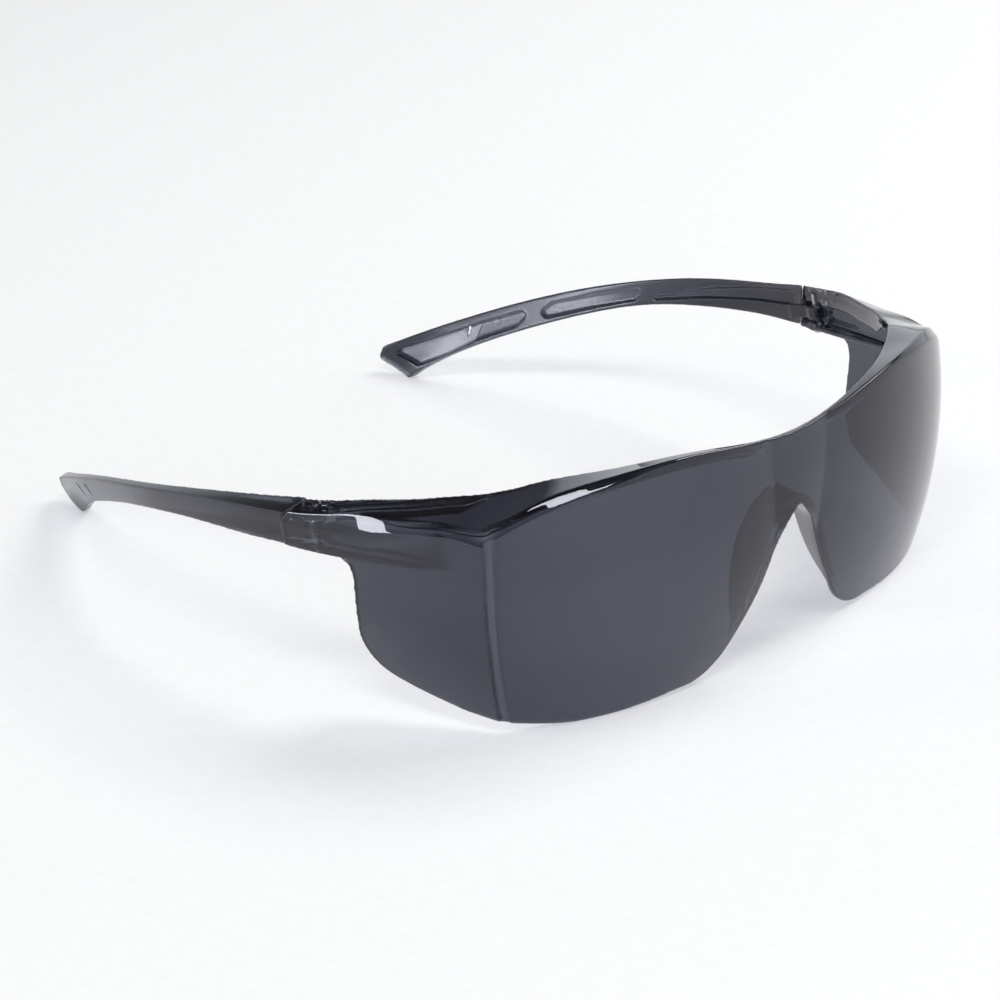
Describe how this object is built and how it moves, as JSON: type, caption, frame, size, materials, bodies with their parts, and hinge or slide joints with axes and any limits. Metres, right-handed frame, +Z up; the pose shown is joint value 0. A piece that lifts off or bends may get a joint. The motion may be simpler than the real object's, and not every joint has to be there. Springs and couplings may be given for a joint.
{
  "type": "over-spectacle safety glasses",
  "caption": "Smoke-tinted wraparound safety glasses: one-piece lens with brow shelf, side shields and nose arch, and folding temples on pinned hinges.",
  "frame": {"origin": "on the table under the middle of the pair's box, where it rests on the lens's lower edge and the temple tips", "axes": "+X to the wearer's left, +Y from the lens towards the temple tips, +Z up; the lens faces -Y"},
  "size_m": [0.1568, 0.186, 0.0548],
  "materials": {
    "smoke_polycarbonate": "polished, transparent smoke tint",
    "temple_polycarbonate": "glossy, transparent smoke tint",
    "pin_steel": "bright drawn wire"
  },
  "bodies": {
    "front": {"lens": "smoke_polycarbonate", "hinge_pin_left": "pin_steel", "hinge_pin_right": "pin_steel"},
    "temple_left": {"temple_left": "temple_polycarbonate"},
    "temple_right": {"temple_right": "temple_polycarbonate"}
  },
  "joints": [
    {"name": "fold_left", "type": "hinge", "parent": "front", "child": "temple_left", "pos_m": [0.0739, -0.03092, 0.03811], "axis": [0, 0.1977, 0.9803], "range_deg": [0, 90]},
    {"name": "fold_right", "type": "hinge", "parent": "front", "child": "temple_right", "pos_m": [-0.0739, -0.03092, 0.03811], "axis": [0, -0.1977, -0.9803], "range_deg": [0, 76]}
  ]
}
